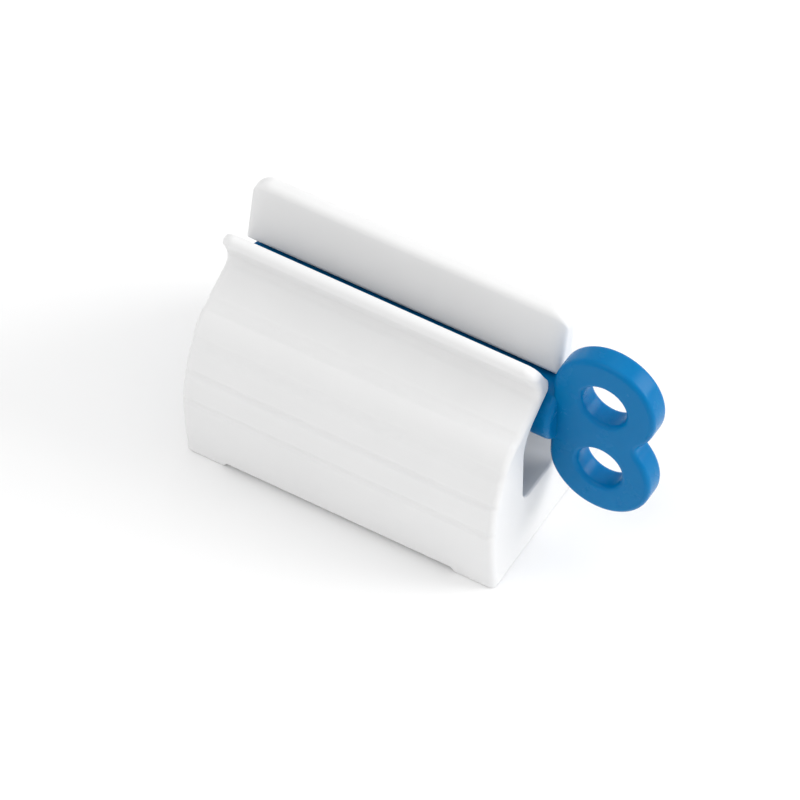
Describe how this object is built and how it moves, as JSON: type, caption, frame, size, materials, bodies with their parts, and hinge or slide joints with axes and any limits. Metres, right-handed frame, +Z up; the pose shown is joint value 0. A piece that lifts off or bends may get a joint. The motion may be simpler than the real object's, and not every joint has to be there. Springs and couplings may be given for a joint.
{
  "type": "toothpaste dispenser",
  "caption": "White moulded toothpaste tube squeezer with a slot along its top and a blue two-lobed key that winds the tube on a slit roller.",
  "frame": {"origin": "on the table, under the middle of the whole object's box with the key at rest", "axes": "+Z up; +X along the roller, from the body's far end towards the key's bow; +Y from the grooved front towards the back"},
  "size_m": [0.0727, 0.04, 0.042],
  "materials": {
    "white_plastic": "satin moulded",
    "blue_plastic": "glossy moulded"
  },
  "bodies": {
    "body": {"body": "white_plastic"},
    "key": {"key": "blue_plastic"}
  },
  "joints": [
    {"name": "key_turn", "type": "hinge", "parent": "body", "child": "key", "pos_m": [0.017, -0.0014, 0.02552], "axis": [1, 0, 0], "continuous": true}
  ]
}
